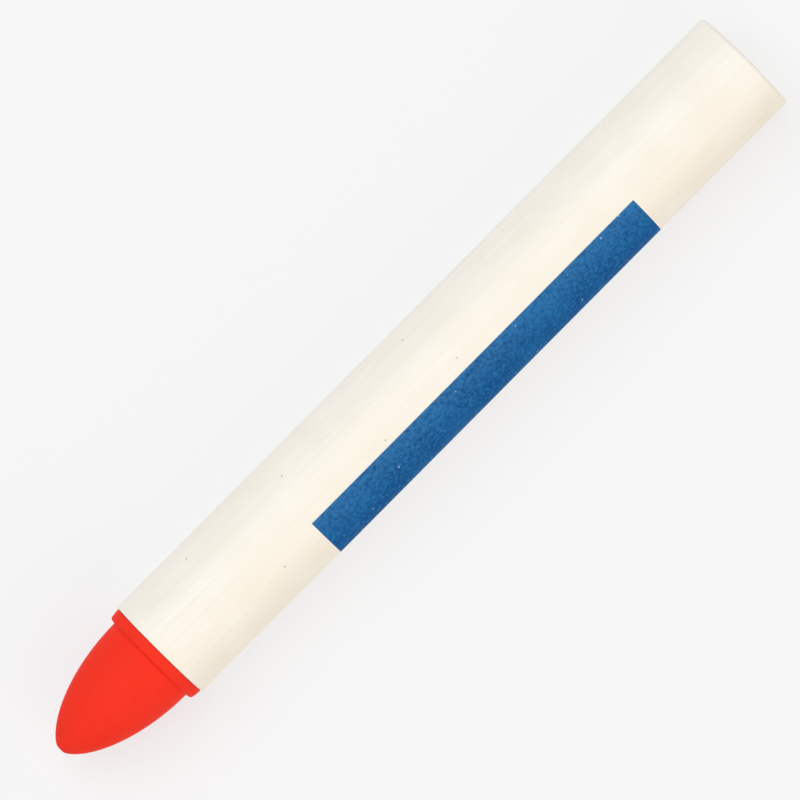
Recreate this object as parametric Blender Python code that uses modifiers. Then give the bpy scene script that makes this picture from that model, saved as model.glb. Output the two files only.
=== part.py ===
"""Twist-up solid paint marker with its cap on, lying on its side with its nose towards +X.

Units are metres and +Z is up. The origin lies under the middle of the marker, on the surface it rests on.
Every piece is modelled about its own local Z, which is the marker's axis: heights along it are counted
from the square-cut rear end of the barrel, and one empty lays the whole stack down along +X.

How it works: the turn knob in the rear end drives the feed screw. The carrier is a nut on that screw and
is kept from turning by the ribs in the barrel, so it pushes the paint stick forward, out of the mouth.
"""

import math

import bmesh
import bpy
from mathutils import Euler, Matrix, Vector

# Barrel: one parallel tube with guide ribs inside
BARREL_DIAMETER = 0.0170
BARREL_LENGTH = 0.1180
BARREL_WALL = 0.0013
REAR_EDGE_ROUND = 0.00055
MOUTH_CHAMFER = 0.0002
RIB_COUNT = 4
RIB_HEIGHT = 0.0009
RIB_WIDTH = 0.0014
RIB_SETBACK = 0.0010
SNAP_BEAD_HEIGHT = 0.0003
SNAP_BEAD_LENGTH = 0.0006

# Blue printed panel on the barrel's skin, measured from the mouth and from the top of the barrel
PANEL_FROM_MOUTH = 0.0280
PANEL_LENGTH = 0.0645
PANEL_START_ANGLE = math.radians(18.75)
PANEL_END_ANGLE = math.radians(93.75)

# Cap: a hollow bullet nose, a pull flange and a plug that seats in the barrel's mouth
CAP_LENGTH = 0.0199
CAP_FLANGE_THICKNESS = 0.0017
CAP_FLANGE_INSET = 0.00025
CAP_FLANGE_DRAFT = 0.0002
CAP_FLANGE_ROUND = 0.0004
CAP_FLANGE_CHAMFER = 0.00015
CAP_FLANGE_LIP = 0.00105
CAP_CROWN_WALL = 0.0016
CAP_PLUG_LENGTH = 0.0065
CAP_PLUG_CHAMFER = 0.0003
CAP_BEAD_HEIGHT = 0.00008
CAP_BEAD_LENGTH = 0.0010
NOSE_LENGTH_POWER = 2.0
NOSE_WIDTH_POWER = 1.6
NOSE_TIP_CUT = 0.0003

# Paint stick
STICK_NOSE_RECESS = 0.0015
STICK_NOSE_LENGTH = 0.0090
STICK_SOLID_NOSE = 0.0155
STICK_TAIL_CHAMFER = 0.0004

# Carrier: a nut with fingers that hold the tail of the stick
NUT_LENGTH = 0.0055
CUP_DEPTH = 0.0090
FINGER_LEAD_IN = 0.0003

# Feed screw: left-handed, so that a clockwise turn seen from the rear feeds the stick out
SCREW_CORE_DIAMETER = 0.0030
THREAD_LEAD = 0.0050
THREAD_HEIGHT = 0.0008
THREAD_ROOT_WIDTH = 0.0015
THREAD_CREST_WIDTH = 0.0009
THREAD_END_MARGIN = 0.0010
SCREW_TIP_CHAMFER = 0.0006
SCREW_END_ROOM = 0.0010
COLLAR_THICKNESS = 0.0014
COLLAR_OVERLAP = 0.0005
TANG_SIDE = 0.0030
TANG_END_ROOM = 0.0005

# Turn knob, sunk in the rear end of the barrel, with a grip web between two finger pockets
KNOB_RECESS = 0.0005
KNOB_DEPTH = 0.0060
KNOB_RIM = 0.0009
KNOB_CHAMFER = 0.0003
POCKET_DEPTH = 0.0045
WEB_THICKNESS = 0.0022
WEB_DROP = 0.0003
WEB_EDGE_ROUND = 0.0005
HUB_WALL = 0.0007

# Rear bush and its seal
BUSH_LENGTH = 0.0045
BUSH_CHAMFER = 0.0003
SEAL_SECTION = 0.0013

# Clearances: between pieces that move on each other, and between pieces that seat
RUNNING_GAP = 0.0003
SEAT_GAP = 0.00015
SEAL_GAP = 0.0001

# Facets
TURN_SEGMENTS = 48
SMALL_SEGMENTS = 32
THREAD_STEPS = 16
NOSE_RINGS = 11
CAVITY_RINGS = 7
STICK_NOSE_RINGS = 7
ROUND_RINGS = 3
SEAL_RINGS = 10
SHARP_ANGLE = math.radians(32)

# Radii that follow from the sizes above
BARREL_RADIUS = BARREL_DIAMETER / 2
BORE_RADIUS = BARREL_RADIUS - BARREL_WALL
RIB_INNER_RADIUS = BORE_RADIUS - RIB_HEIGHT
STICK_RADIUS = RIB_INNER_RADIUS - RUNNING_GAP
FLANGE_RADIUS = BARREL_RADIUS - CAP_FLANGE_INSET
NOSE_BASE_RADIUS = FLANGE_RADIUS - CAP_FLANGE_LIP
PLUG_RADIUS = BORE_RADIUS - SEAT_GAP
PLUG_INNER_RADIUS = STICK_RADIUS + RUNNING_GAP
KNOB_RADIUS = BORE_RADIUS - RUNNING_GAP
POCKET_RADIUS = KNOB_RADIUS - KNOB_RIM
HUB_RADIUS = (TANG_SIDE / 2 + SEAT_GAP) * math.sqrt(2) + HUB_WALL
SEAL_RADIUS = HUB_RADIUS + SEAL_GAP + SEAL_SECTION / 2
SEAL_SEAT_RADIUS = SEAL_RADIUS + SEAL_SECTION / 2 + SEAL_GAP
SEAL_SEAT_DEPTH = SEAL_SECTION + 2 * SEAL_GAP
COLLAR_RADIUS = SEAL_SEAT_RADIUS + COLLAR_OVERLAP
CORE_RADIUS = SCREW_CORE_DIAMETER / 2
CREST_RADIUS = CORE_RADIUS + THREAD_HEIGHT
NUT_BORE_RADIUS = CORE_RADIUS + RUNNING_GAP
STICK_BORE_RADIUS = CREST_RADIUS + 2 * RUNNING_GAP
CARRIER_RADIUS = BORE_RADIUS - RUNNING_GAP
CUP_RADIUS = STICK_RADIUS + SEAT_GAP

# Heights along the axis, from the rear end of the barrel to the tip of the cap
KNOB_FRONT = KNOB_RECESS + KNOB_DEPTH
SNAP_BEAD_REAR = KNOB_FRONT + RUNNING_GAP
SNAP_BEAD_FRONT = SNAP_BEAD_REAR + SNAP_BEAD_LENGTH
BUSH_REAR = SNAP_BEAD_FRONT + SEAT_GAP
BUSH_FRONT = BUSH_REAR + BUSH_LENGTH
HUB_FRONT = BUSH_FRONT + RUNNING_GAP
COLLAR_REAR = HUB_FRONT + SEAT_GAP
COLLAR_FRONT = COLLAR_REAR + COLLAR_THICKNESS
CARRIER_REAR = COLLAR_FRONT + RUNNING_GAP
CUP_FLOOR = CARRIER_REAR + NUT_LENGTH
CUP_FRONT = CUP_FLOOR + CUP_DEPTH
STICK_TAIL = CUP_FLOOR + SEAT_GAP
STICK_TIP = BARREL_LENGTH - STICK_NOSE_RECESS
STICK_BORE_END = STICK_TIP - STICK_SOLID_NOSE
SCREW_TIP = STICK_BORE_END - SCREW_END_ROOM
RIB_REAR = BUSH_FRONT + SEAT_GAP
RIB_FRONT = BARREL_LENGTH - CAP_PLUG_LENGTH - RIB_SETBACK
FLANGE_REAR = BARREL_LENGTH + SEAT_GAP
FLANGE_FRONT = FLANGE_REAR + CAP_FLANGE_THICKNESS
CAP_TIP = FLANGE_REAR + CAP_LENGTH

# The barrel rests on one flat facet, half a facet round from the first line of the turned shapes
HALF_FACET = math.pi / TURN_SEGMENTS
AXIS_HEIGHT = BARREL_RADIUS * math.cos(HALF_FACET)

# A cutter or an added rib runs this far past the face it cuts or joins
OVERRUN = 0.0005


def clear_scene():
    """Remove everything that the scene holds."""
    for obj in list(bpy.data.objects):
        bpy.data.objects.remove(obj, do_unlink=True)


def new_collection(name):
    """Return a new collection linked to the scene."""
    collection = bpy.data.collections.new(name)
    bpy.context.scene.collection.children.link(collection)
    return collection


def plain_material(name, colour, roughness, metallic=0.0):
    """Return a Principled material with one linear colour."""
    material = bpy.data.materials.new(name)
    material.use_nodes = True
    shader = material.node_tree.nodes["Principled BSDF"]
    shader.inputs["Base Color"].default_value = (*colour, 1.0)
    shader.inputs["Roughness"].default_value = roughness
    shader.inputs["Metallic"].default_value = metallic
    return material


def add_object(name, mesh, collection, axis):
    """Link a mesh as a named object that hangs on the marker's axis."""
    obj = bpy.data.objects.new(name, mesh)
    collection.objects.link(obj)
    obj.parent = axis
    return obj


def mesh_from(bm, name):
    """Turn a bmesh into a mesh and free it."""
    mesh = bpy.data.meshes.new(name)
    bm.to_mesh(mesh)
    bm.free()
    return mesh


def turned(name, profile, collection, axis, segments=TURN_SEGMENTS, closed=False):
    """Return a turned object: (radius, height) points that run down the outer side, spun about Z."""
    bm = bmesh.new()
    points = [bm.verts.new((radius, 0.0, height)) for radius, height in profile]
    ends = points[1:] + points[:1] if closed else points[1:]
    for start, end in zip(points, ends):
        bm.edges.new((start, end))
    obj = add_object(name, mesh_from(bm, name), collection, axis)
    screw = obj.modifiers.new("turn", "SCREW")
    screw.axis = "Z"
    screw.angle = math.tau
    screw.steps = segments
    screw.render_steps = segments
    screw.use_merge_vertices = True
    screw.merge_threshold = 1e-7
    return obj


def box_pattern(name, sizes, place, count, collection, axis):
    """Return a helper of equal boxes, set round the axis at equal angles; place is the first box's middle."""
    bm = bmesh.new()
    for index in range(count):
        turn = Matrix.Rotation(math.tau * (index + 0.5) / count - HALF_FACET, 4, "Z")
        shape = Matrix.Translation(place) @ Matrix.Diagonal((*sizes, 1.0))
        bmesh.ops.create_cube(bm, size=1.0, matrix=turn @ shape)
    return helper(add_object(name, mesh_from(bm, name), collection, axis))


def helper(obj):
    """Mark an object as a cutter or a guide."""
    obj.hide_render = True
    obj.display_type = "WIRE"
    return obj


def combine(obj, other, operation):
    """Add a Boolean modifier to obj."""
    modifier = obj.modifiers.new(operation.lower(), "BOOLEAN")
    modifier.operation = operation
    modifier.object = other
    modifier.solver = "EXACT"


def settle(obj, material):
    """Apply an object's modifiers and give the result its material and its shading."""
    graph = bpy.context.evaluated_depsgraph_get()
    mesh = bpy.data.meshes.new_from_object(obj.evaluated_get(graph))
    obj.modifiers.clear()
    obj.data = mesh
    mesh.name = obj.name
    mesh.materials.clear()
    mesh.materials.append(material)
    mesh.shade_smooth()
    mesh.set_sharp_from_angle(angle=SHARP_ANGLE)
    return obj


def rounded_corner(centre_radius, centre_height, size, start_angle, end_angle, rings=ROUND_RINGS):
    """Return the points of a rounded corner in a profile, as an arc about its centre."""
    points = []
    for index in range(rings + 1):
        angle = start_angle + (end_angle - start_angle) * index / rings
        points.append((centre_radius + size * math.cos(angle), centre_height + size * math.sin(angle)))
    return points


def nose_curve(base_radius, base_height, length, rings):
    """Return the bullet outline of the cap, from its small flat tip on the axis down to its base."""
    points = [(0.0, base_height + length)]
    whole_length = length + NOSE_TIP_CUT
    for index in range(rings + 1):
        # Squared steps set the rings close together near the blunt tip.
        height = length * (1.0 - (index / rings) ** 2)
        share = 1.0 - (height / whole_length) ** NOSE_LENGTH_POWER
        points.append((base_radius * share ** (1.0 / NOSE_WIDTH_POWER), base_height + height))
    return points


def helix(name, inner_radius, outer_radius, inner_width, outer_width, start, end, collection, axis):
    """Return a left-handed helical bar about Z that stays in phase wherever along the axis it starts."""
    turns = (end - start) / THREAD_LEAD
    steps = math.ceil(turns * THREAD_STEPS)
    bm = bmesh.new()
    section = [
        (inner_radius, -inner_width / 2),
        (outer_radius, -outer_width / 2),
        (outer_radius, outer_width / 2),
        (inner_radius, inner_width / 2),
    ]
    face = bm.faces.new([bm.verts.new((radius, 0.0, start + height)) for radius, height in section])
    bmesh.ops.rotate(
        bm,
        verts=bm.verts,
        cent=(0.0, 0.0, 0.0),
        matrix=Matrix.Rotation(-math.tau * start / THREAD_LEAD, 3, "Z"),
    )
    bmesh.ops.spin(
        bm,
        geom=[face],
        cent=(0.0, 0.0, 0.0),
        axis=(0.0, 0.0, 1.0),
        dvec=(0.0, 0.0, (end - start) / steps),
        angle=-math.tau * turns,
        steps=steps,
        use_merge=False,
        use_duplicate=False,
    )
    bmesh.ops.recalc_face_normals(bm, faces=bm.faces)
    return helper(add_object(name, mesh_from(bm, name), collection, axis))


def make_barrel(parts, cutters, axis, ivory, blue):
    """The tube: rounded at the rear, with a snap bead for the bush and ribs that guide carrier and stick."""
    bead_slope = SNAP_BEAD_LENGTH / 3
    panel_front = BARREL_LENGTH - PANEL_FROM_MOUTH
    panel_rear = panel_front - PANEL_LENGTH
    rear_round = rounded_corner(
        BARREL_RADIUS - REAR_EDGE_ROUND, REAR_EDGE_ROUND, REAR_EDGE_ROUND, 0.0, -math.pi / 2
    )
    profile = [
        (BORE_RADIUS, BARREL_LENGTH - MOUTH_CHAMFER),
        (BORE_RADIUS + MOUTH_CHAMFER, BARREL_LENGTH),
        (BARREL_RADIUS - MOUTH_CHAMFER, BARREL_LENGTH),
        (BARREL_RADIUS, BARREL_LENGTH - MOUTH_CHAMFER),
        (BARREL_RADIUS, panel_front),
        (BARREL_RADIUS, panel_rear),
        *rear_round,
        (BORE_RADIUS, 0.0),
        (BORE_RADIUS, SNAP_BEAD_REAR),
        (BORE_RADIUS - SNAP_BEAD_HEIGHT, SNAP_BEAD_REAR + bead_slope),
        (BORE_RADIUS - SNAP_BEAD_HEIGHT, SNAP_BEAD_FRONT - bead_slope),
        (BORE_RADIUS, SNAP_BEAD_FRONT),
    ]
    barrel = turned("barrel", profile, parts, axis, closed=True)
    rib_depth = RIB_HEIGHT + BARREL_WALL / 2
    ribs = box_pattern(
        "barrel_ribs",
        (rib_depth, RIB_WIDTH, RIB_FRONT - RIB_REAR),
        (RIB_INNER_RADIUS + rib_depth / 2, 0.0, (RIB_FRONT + RIB_REAR) / 2),
        RIB_COUNT,
        cutters,
        axis,
    )
    combine(barrel, ribs, "UNION")
    settle(barrel, ivory)
    print_panel(barrel.data, blue, panel_rear, panel_front)
    return barrel


def print_panel(mesh, blue, rear, front):
    """Give the barrel's outer faces inside the panel the ink's material."""
    mesh.materials.append(blue)
    for face in mesh.polygons:
        radius = face.center.xy.length
        if radius < BORE_RADIUS + BARREL_WALL / 2 or not rear < face.center.z < front:
            continue
        # The axis is laid down with local -X upwards, so the angle from the top is taken from there.
        upright = Matrix.Rotation(HALF_FACET, 3, "Z") @ face.center
        from_top = math.atan2(upright.y, -upright.x)
        if PANEL_START_ANGLE < from_top < PANEL_END_ANGLE:
            face.material_index = 1


def make_cap(parts, axis, red):
    """The cap: bullet nose, pull flange, plug with a sealing bead, and a cavity for the tip of the stick."""
    nose = nose_curve(NOSE_BASE_RADIUS, FLANGE_FRONT, CAP_TIP - FLANGE_FRONT, NOSE_RINGS)
    cavity_length = CAP_TIP - FLANGE_FRONT - CAP_CROWN_WALL
    cavity = nose_curve(PLUG_INNER_RADIUS, FLANGE_FRONT, cavity_length, CAVITY_RINGS)
    flange_round = rounded_corner(
        FLANGE_RADIUS - CAP_FLANGE_DRAFT - CAP_FLANGE_ROUND,
        FLANGE_FRONT - CAP_FLANGE_ROUND,
        CAP_FLANGE_ROUND,
        math.pi / 2,
        0.0,
    )
    plug_end = FLANGE_REAR - CAP_PLUG_LENGTH
    bead_front = plug_end + CAP_PLUG_CHAMFER + 2 * CAP_BEAD_LENGTH
    bead_rear = bead_front - CAP_BEAD_LENGTH
    profile = [
        *nose,
        *flange_round,
        (FLANGE_RADIUS, FLANGE_REAR + CAP_FLANGE_CHAMFER),
        (FLANGE_RADIUS - CAP_FLANGE_CHAMFER, FLANGE_REAR),
        (PLUG_RADIUS, FLANGE_REAR),
        (PLUG_RADIUS, bead_front),
        (PLUG_RADIUS + CAP_BEAD_HEIGHT, (bead_front + bead_rear) / 2),
        (PLUG_RADIUS, bead_rear),
        (PLUG_RADIUS, plug_end + CAP_PLUG_CHAMFER),
        (PLUG_RADIUS - CAP_PLUG_CHAMFER, plug_end),
        (PLUG_INNER_RADIUS, plug_end),
        *reversed(cavity),
    ]
    return settle(turned("cap", profile, parts, axis), red)


def make_paint_stick(parts, axis, paint):
    """The stick of solid paint: a bullet nose, and a bore from the tail that clears the feed screw."""
    nose = [(0.0, STICK_TIP)]
    for index in range(1, STICK_NOSE_RINGS + 1):
        depth = (index / STICK_NOSE_RINGS) ** 2
        radius = STICK_RADIUS * math.sqrt(1.0 - (1.0 - depth) ** 2)
        nose.append((radius, STICK_TIP - STICK_NOSE_LENGTH * depth))
    profile = [
        *nose,
        (STICK_RADIUS, STICK_TAIL + STICK_TAIL_CHAMFER),
        (STICK_RADIUS - STICK_TAIL_CHAMFER, STICK_TAIL),
        (STICK_BORE_RADIUS, STICK_TAIL),
        (STICK_BORE_RADIUS, STICK_BORE_END - STICK_BORE_RADIUS / 2),
        (0.0, STICK_BORE_END),
    ]
    return settle(turned("paint_stick", profile, parts, axis), paint)


def make_carrier(parts, cutters, axis, white):
    """The nut on the feed screw, notched for the barrel's ribs, with fingers round the tail of the stick."""
    profile = [
        (CUP_RADIUS + FINGER_LEAD_IN, CUP_FRONT),
        (CARRIER_RADIUS, CUP_FRONT),
        (CARRIER_RADIUS, CARRIER_REAR),
        (NUT_BORE_RADIUS, CARRIER_REAR),
        (NUT_BORE_RADIUS, CUP_FLOOR),
        (CUP_RADIUS, CUP_FLOOR),
        (CUP_RADIUS, CUP_FRONT - FINGER_LEAD_IN),
    ]
    carrier = turned("stick_carrier", profile, parts, axis, closed=True)
    notch_floor = RIB_INNER_RADIUS - RUNNING_GAP
    notch_depth = BARREL_RADIUS - notch_floor
    notches = box_pattern(
        "carrier_notches",
        (notch_depth, RIB_WIDTH + 2 * RUNNING_GAP, CUP_FRONT - CARRIER_REAR + 2 * OVERRUN),
        (notch_floor + notch_depth / 2, 0.0, (CUP_FRONT + CARRIER_REAR) / 2),
        RIB_COUNT,
        cutters,
        axis,
    )
    groove = helix(
        "carrier_groove",
        CORE_RADIUS,
        CREST_RADIUS + RUNNING_GAP,
        THREAD_ROOT_WIDTH + 2 * RUNNING_GAP,
        THREAD_CREST_WIDTH + 2 * RUNNING_GAP,
        CARRIER_REAR - THREAD_LEAD,
        CUP_FLOOR + THREAD_LEAD,
        cutters,
        axis,
    )
    combine(carrier, notches, "DIFFERENCE")
    combine(carrier, groove, "DIFFERENCE")
    return settle(carrier, white)


def make_feed_screw(parts, cutters, axis, white):
    """The screw: a threaded core, a collar that bears on the bush, and a square tang for the knob's hub."""
    profile = [
        (0.0, SCREW_TIP),
        (CORE_RADIUS - SCREW_TIP_CHAMFER, SCREW_TIP),
        (CORE_RADIUS, SCREW_TIP - SCREW_TIP_CHAMFER),
        (CORE_RADIUS, COLLAR_FRONT),
        (COLLAR_RADIUS, COLLAR_FRONT),
        (COLLAR_RADIUS, COLLAR_REAR),
        (0.0, COLLAR_REAR),
    ]
    screw = turned("feed_screw", profile, parts, axis, segments=THREAD_STEPS)
    thread = helix(
        "screw_thread",
        CORE_RADIUS - THREAD_HEIGHT / 2,
        CREST_RADIUS,
        THREAD_ROOT_WIDTH,
        THREAD_CREST_WIDTH,
        COLLAR_FRONT,
        SCREW_TIP - THREAD_END_MARGIN - SCREW_TIP_CHAMFER,
        cutters,
        axis,
    )
    tang_rear = KNOB_FRONT + TANG_END_ROOM
    tang_front = COLLAR_REAR + COLLAR_THICKNESS / 2
    tang = box_pattern(
        "screw_tang",
        (TANG_SIDE, TANG_SIDE, tang_front - tang_rear),
        (0.0, 0.0, (tang_front + tang_rear) / 2),
        1,
        cutters,
        axis,
    )
    combine(screw, thread, "UNION")
    combine(screw, tang, "UNION")
    return settle(screw, white)


def make_turn_knob(parts, cutters, axis, ivory):
    """The knob: a shallow cup with a grip web across it, and a hub that runs through the bush."""
    pocket_floor = KNOB_RECESS + POCKET_DEPTH
    profile = [
        (0.0, HUB_FRONT),
        (HUB_RADIUS, HUB_FRONT),
        (HUB_RADIUS, KNOB_FRONT),
        (KNOB_RADIUS - KNOB_CHAMFER, KNOB_FRONT),
        (KNOB_RADIUS, KNOB_FRONT - KNOB_CHAMFER),
        (KNOB_RADIUS, KNOB_RECESS + KNOB_CHAMFER),
        (KNOB_RADIUS - KNOB_CHAMFER, KNOB_RECESS),
        (POCKET_RADIUS, KNOB_RECESS),
        (POCKET_RADIUS, pocket_floor),
        (0.0, pocket_floor),
    ]
    knob = turned("turn_knob", profile, parts, axis)
    web_rear = KNOB_RECESS + WEB_DROP
    web_front = pocket_floor + OVERRUN
    web = box_pattern(
        "knob_web",
        (2 * POCKET_RADIUS + KNOB_RIM, WEB_THICKNESS, web_front - web_rear),
        (0.0, 0.0, (web_front + web_rear) / 2),
        1,
        cutters,
        axis,
    )
    round_off = web.modifiers.new("round_off", "BEVEL")
    round_off.width = WEB_EDGE_ROUND
    round_off.segments = ROUND_RINGS
    socket_rear = KNOB_FRONT
    socket_front = HUB_FRONT + OVERRUN
    socket_side = TANG_SIDE + 2 * SEAT_GAP
    socket = box_pattern(
        "hub_socket",
        (socket_side, socket_side, socket_front - socket_rear),
        (0.0, 0.0, (socket_front + socket_rear) / 2),
        1,
        cutters,
        axis,
    )
    combine(knob, web, "UNION")
    combine(knob, socket, "DIFFERENCE")
    return settle(knob, ivory)


def make_rear_bush(parts, axis, white):
    """The bush: held between the snap bead and the ribs, it carries the knob's hub and seats the seal."""
    outer = BORE_RADIUS - SEAT_GAP
    inner = HUB_RADIUS + RUNNING_GAP
    profile = [
        (SEAL_SEAT_RADIUS, BUSH_FRONT),
        (outer - BUSH_CHAMFER, BUSH_FRONT),
        (outer, BUSH_FRONT - BUSH_CHAMFER),
        (outer, BUSH_REAR + BUSH_CHAMFER),
        (outer - BUSH_CHAMFER, BUSH_REAR),
        (inner, BUSH_REAR),
        (inner, BUSH_FRONT - SEAL_SEAT_DEPTH),
        (SEAL_SEAT_RADIUS, BUSH_FRONT - SEAL_SEAT_DEPTH),
    ]
    return settle(turned("rear_bush", profile, parts, axis, closed=True), white)


def make_seal_ring(parts, axis, rubber):
    """The rubber ring between hub and bush: it keeps the paint from drying and gives the knob its drag."""
    bpy.ops.mesh.primitive_torus_add(
        major_segments=SMALL_SEGMENTS,
        minor_segments=SEAL_RINGS,
        major_radius=SEAL_RADIUS,
        minor_radius=SEAL_SECTION / 2,
    )
    torus = bpy.context.active_object
    mesh = torus.data
    bpy.data.objects.remove(torus)
    ring = add_object("seal_ring", mesh, parts, axis)
    ring.location = Vector((0.0, 0.0, BUSH_FRONT - SEAL_SEAT_DEPTH / 2))
    return settle(ring, rubber)


def main():
    """Build the marker."""
    clear_scene()
    parts = new_collection("paint_marker")
    cutters = new_collection("paint_marker_cutters")
    axis = bpy.data.objects.new("marker_axis", None)
    parts.objects.link(axis)
    axis.location = (-CAP_TIP / 2, 0.0, AXIS_HEIGHT)
    lay_down = Euler((0.0, math.pi / 2, 0.0)).to_matrix()
    axis.rotation_euler = (lay_down @ Matrix.Rotation(HALF_FACET, 3, "Z")).to_euler()

    ivory = plain_material("ivory_polypropylene", (0.91, 0.87, 0.77), 0.38)
    blue = plain_material("blue_panel_ink", (0.04, 0.16, 0.36), 0.45)
    red = plain_material("red_polypropylene", (0.88, 0.05, 0.025), 0.42)
    paint = plain_material("red_solid_paint", (0.74, 0.03, 0.02), 0.6)
    white = plain_material("white_acetal", (0.82, 0.81, 0.78), 0.35)
    rubber = plain_material("black_nitrile_rubber", (0.02, 0.02, 0.02), 0.7)

    make_barrel(parts, cutters, axis, ivory, blue)
    make_cap(parts, axis, red)
    make_paint_stick(parts, axis, paint)
    make_carrier(parts, cutters, axis, white)
    make_feed_screw(parts, cutters, axis, white)
    make_turn_knob(parts, cutters, axis, ivory)
    make_rear_bush(parts, axis, white)
    make_seal_ring(parts, axis, rubber)


main()
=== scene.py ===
"""Looks of the twist-up paint marker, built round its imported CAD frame.

Units are metres, in the frame's own axes: the marker lies along +X with its cap forward and its printed panel
towards +Y, and it rests on z = 0. Places along it are counted from the square-cut rear end of the barrel.
"""

import logging
import math
from abc import ABC, abstractmethod
from collections.abc import Sequence
from dataclasses import dataclass
from enum import Enum

import bmesh
import bpy
from bmesh.types import BMEdge, BMesh, BMFace, BMVert
from bpy.types import ID, Material, Mesh, Node, NodeSocket, NodeTree, Object
from mathutils import Matrix, Vector

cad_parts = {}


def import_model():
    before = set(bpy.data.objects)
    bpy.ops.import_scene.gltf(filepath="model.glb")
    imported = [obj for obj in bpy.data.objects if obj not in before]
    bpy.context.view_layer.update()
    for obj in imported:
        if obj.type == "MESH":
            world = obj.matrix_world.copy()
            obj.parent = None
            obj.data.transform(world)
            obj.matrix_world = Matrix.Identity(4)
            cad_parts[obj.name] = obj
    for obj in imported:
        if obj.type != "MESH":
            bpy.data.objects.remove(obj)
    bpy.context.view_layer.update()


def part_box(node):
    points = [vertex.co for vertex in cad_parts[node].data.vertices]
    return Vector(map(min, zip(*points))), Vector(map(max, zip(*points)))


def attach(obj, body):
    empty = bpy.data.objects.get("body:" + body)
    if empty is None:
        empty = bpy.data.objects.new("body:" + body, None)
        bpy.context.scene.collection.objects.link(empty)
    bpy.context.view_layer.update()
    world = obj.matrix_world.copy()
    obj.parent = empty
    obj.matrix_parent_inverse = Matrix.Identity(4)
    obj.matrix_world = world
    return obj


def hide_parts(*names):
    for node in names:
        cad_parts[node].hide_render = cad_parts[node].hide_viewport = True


LOG = logging.getLogger("paint_marker")

Rgba = tuple[float, float, float, float]

MM = 0.001
FORWARD = (1.0, 0.0, 0.0)

# Points closer than this are one point.
MERGE_DISTANCE = 0.0005 * MM
# Edges that turn more than this are shaded as edges.
SHARP_ANGLE = math.radians(35)
# Steps of a rounded edge, and of one turn of a thread
ROUND_STEPS = 5
THREAD_STEPS = 40

# The colour Mix node has sockets of one name for every kind of value, so they go by number.
MIX_FACTOR = 0
MIX_A = 6
MIX_B = 7
MIX_RESULT = 2


class Body(Enum):
    """The moving bodies of the CAD frame."""

    BARREL = "barrel"
    CAP = "cap"
    KNOB = "knob"
    FEED = "feed"


class Slot(Enum):
    """The material slots of the CAD record."""

    IVORY_PLASTIC = "ivory_plastic"
    RED_PLASTIC = "red_plastic"
    RED_PAINT = "red_paint"
    WHITE_PLASTIC = "white_plastic"
    BLACK_RUBBER = "black_rubber"


class Joining(Enum):
    """How one closed shape is worked into another."""

    CUT = "DIFFERENCE"
    ADD = "UNION"


class Rounding(Enum):
    """What is rounded off: corners of a wire, or edges of a solid."""

    CORNERS = "VERTICES"
    EDGES = "EDGES"


def linear(hex_colour: str) -> Rgba:
    """Turn an sRGB hex colour into linear RGBA.

    Args:
        hex_colour: A colour such as "#F6EFDE".

    Returns:
        The linear red, green, blue and alpha.
    """
    channels = [int(hex_colour[start : start + 2], 16) / 255 for start in (1, 3, 5)]
    red, green, blue = [c / 12.92 if c <= 0.04045 else ((c + 0.055) / 1.055) ** 2.4 for c in channels]
    return red, green, blue, 1.0


def scale_for(size_mm: float) -> float:
    """Return the texture scale that makes a pattern's cells this many millimetres wide."""
    return 1.0 / (size_mm * MM)


def add_node(
    tree: NodeTree, kind: str, sockets: dict[str | int, object] | None = None, **settings: object
) -> Node:
    """Add one node with its settings, and fill or link its sockets.

    Args:
        tree: The node tree that takes the node.
        kind: The node's Blender type.
        sockets: Input names or numbers, each with a constant or with the output that feeds it.
        settings: The node's own properties.

    Returns:
        The new node.
    """
    node = tree.nodes.new(kind)
    for name, value in settings.items():
        setattr(node, name, value)
    for key, value in (sockets or {}).items():
        if isinstance(value, NodeSocket):
            tree.links.new(value, node.inputs[key])
        else:
            node.inputs[key].default_value = value
    return node


class Pattern(ABC):
    """A pattern that its making leaves in a surface, sized in millimetres."""

    @abstractmethod
    def draw(self, tree: NodeTree, place: NodeSocket) -> NodeSocket:
        """Draw the pattern all through the material.

        Args:
            tree: The material's node tree.
            place: The point on the piece, in metres.

        Returns:
            The pattern's value at that point, from 0 to 1.
        """


@dataclass(frozen=True)
class Mottle(Pattern):
    """Uneven patches: their width, how they break up, and how far they are drawn out along the marker."""

    size_mm: float
    detail: float
    roughness: float = 0.5
    distortion: float = 0.0
    stretch: float = 1.0

    def draw(self, tree: NodeTree, place: NodeSocket) -> NodeSocket:
        """Draw the patches, as long as they are wide or drawn out.

        Args:
            tree: The material's node tree.
            place: The point on the piece, in metres.

        Returns:
            A value that wavers about 0.5.
        """
        squeeze = (1.0 / self.stretch, 1.0, 1.0)
        drawn_out = add_node(tree, "ShaderNodeMapping", {"Vector": place, "Scale": squeeze})
        sockets = {
            "Vector": drawn_out.outputs["Vector"],
            "Scale": scale_for(self.size_mm),
            "Detail": self.detail,
            "Roughness": self.roughness,
            "Distortion": self.distortion,
        }
        return add_node(tree, "ShaderNodeTexNoise", sockets).outputs["Fac"]


@dataclass(frozen=True)
class Marks(Pattern):
    """Small round marks with soft edges: the mean distance of their centres, and the largest radius."""

    spacing_mm: float
    radius_mm: float

    def draw(self, tree: NodeTree, place: NodeSocket) -> NodeSocket:
        """Scatter the marks.

        Args:
            tree: The material's node tree.
            place: The point on the piece, in metres.

        Returns:
            1 in the middle of a mark, fading to 0 at its edge.
        """
        sockets = {"Vector": place, "Scale": scale_for(self.spacing_mm)}
        cells = add_node(tree, "ShaderNodeTexVoronoi", sockets, feature="F1")
        reach = self.radius_mm / self.spacing_mm
        fade = {"From Min": reach / 2, "From Max": reach, "To Min": 1.0, "To Max": 0.0}
        mask = add_node(tree, "ShaderNodeMapRange", {"Value": cells.outputs["Distance"], **fade})
        return mask.outputs["Result"]


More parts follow.
